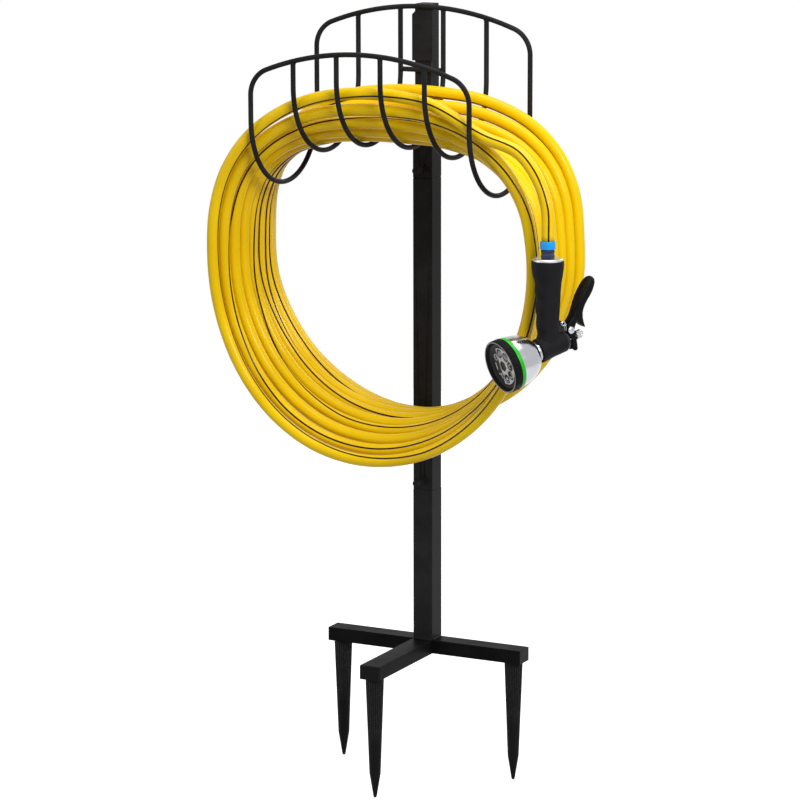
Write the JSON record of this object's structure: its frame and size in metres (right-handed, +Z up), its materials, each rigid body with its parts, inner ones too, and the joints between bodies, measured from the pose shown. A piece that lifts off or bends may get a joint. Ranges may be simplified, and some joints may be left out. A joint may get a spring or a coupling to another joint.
{
  "type": "hose stand",
  "caption": "Free-standing garden hose stand: spiked base, square post and a wire cradle, with a coiled hose laid over it and a pistol spray nozzle on its end.",
  "frame": {"origin": "on the post's axis, on the underside of the base bars, which is ground level in use", "axes": "+Z up along the post, -Y forward along the front base arm, +X to the nozzle's side"},
  "size_m": [0.6122, 0.3107, 1.1045],
  "materials": {
    "black_steel": "satin powder coat",
    "black_plastic": "moulded",
    "zinc_steel": "zinc plated",
    "hose_yellow": "gloss with a thin dark stripe",
    "brass": "machined",
    "blue_plastic": "gloss",
    "navy_plastic": "satin",
    "green_plastic": "gloss",
    "chrome_metal": "polished",
    "grip_rubber": "soft matt"
  },
  "bodies": {
    "stand": {"base_cross_bar": "black_steel", "base_front_arm": "black_steel", "bar_cap_left": "black_plastic", "bar_cap_right": "black_plastic", "arm_cap_front": "black_plastic", "spike_left": "black_plastic", "spike_right": "black_plastic", "spike_front": "black_plastic", "spike_nut_left": "zinc_steel", "spike_nut_right": "zinc_steel", "spike_nut_front": "zinc_steel", "post_stub": "black_steel", "post_main": "black_steel", "post_sleeve": "black_steel", "spigot_lower": "black_steel", "spigot_upper": "black_steel", "neck_collar": "black_steel", "neck_tube": "black_steel", "neck_cap": "black_plastic", "neck_plate": "black_steel", "lower_washer": "black_steel", "upper_washer": "black_steel", "front_rail": "black_steel", "back_rail": "black_steel", "end_wire_left": "black_steel", "end_wire_right": "black_steel", "cradle_wire_1": "black_steel", "cradle_wire_2": "black_steel", "cradle_wire_3": "black_steel", "cradle_wire_4": "black_steel", "cross_wire": "black_steel"},
    "lower_screw": {"lower_clamp_screw": "black_steel"},
    "upper_screw": {"upper_clamp_screw": "black_steel"},
    "hose": {"hose_coil": "hose_yellow", "tap_ferrule": "brass", "hose_ferrule": "blue_plastic", "nozzle_core": "chrome_metal", "nozzle_grip": "grip_rubber", "gland_nut": "chrome_metal", "neck_ring": "chrome_metal", "spray_bell": "chrome_metal", "green_ring": "green_plastic", "trigger_pin": "chrome_metal"},
    "tap_nut": {"tap_nut": "brass"},
    "hose_nut": {"hose_nut": "navy_plastic"},
    "dial": {"spray_bezel": "black_plastic", "spray_face": "black_plastic"},
    "trigger": {"trigger": "black_plastic"},
    "stem": {"valve_stem": "chrome_metal"},
    "adjuster": {"flow_adjuster": "chrome_metal"}
  },
  "joints": [
    {"name": "lower_screw_turn", "type": "hinge", "parent": "stand", "child": "lower_screw", "pos_m": [0, -0.039, 0.2527], "axis": [0, -1, 0], "continuous": true},
    {"name": "upper_screw_turn", "type": "hinge", "parent": "stand", "child": "upper_screw", "pos_m": [0, -0.039, 0.6987], "axis": [0, -1, 0], "continuous": true},
    {"name": "hose_lift", "type": "slide", "parent": "stand", "child": "hose", "axis": [0, 0, 1], "range_m": [0, 0.14]},
    {"name": "tap_nut_turn", "type": "hinge", "parent": "hose", "child": "tap_nut", "pos_m": [-0.265, -0.035, 0.541], "axis": [0, 0, -1], "continuous": true},
    {"name": "hose_nut_turn", "type": "hinge", "parent": "hose", "child": "hose_nut", "pos_m": [0.285, -0.214, 0.625], "axis": [0, 0, 1], "continuous": true},
    {"name": "dial_turn", "type": "hinge", "parent": "hose", "child": "dial", "pos_m": [0.285, -0.214, 0.5], "axis": [-0.5248, -0.8082, -0.2672], "continuous": true},
    {"name": "trigger_squeeze", "type": "hinge", "parent": "hose", "child": "trigger", "pos_m": [0.3027, -0.18674, 0.5215], "axis": [0.8387, -0.5446, 0], "range_deg": [0, 20], "stiffness_Nm_per_rad": 1.5},
    {"name": "stem_slide", "type": "slide", "parent": "hose", "child": "stem", "axis": [0.5248, 0.8082, 0.2672], "range_m": [0, 0.0045]},
    {"name": "adjuster_turn", "type": "hinge", "parent": "stem", "child": "adjuster", "pos_m": [0.285, -0.214, 0.5], "axis": [0.5248, 0.8082, 0.2672], "continuous": true}
  ],
  "couplings": [
    {"joint": "stem_slide", "follows": "trigger_squeeze", "m_per_rad": 0.01203}
  ]
}
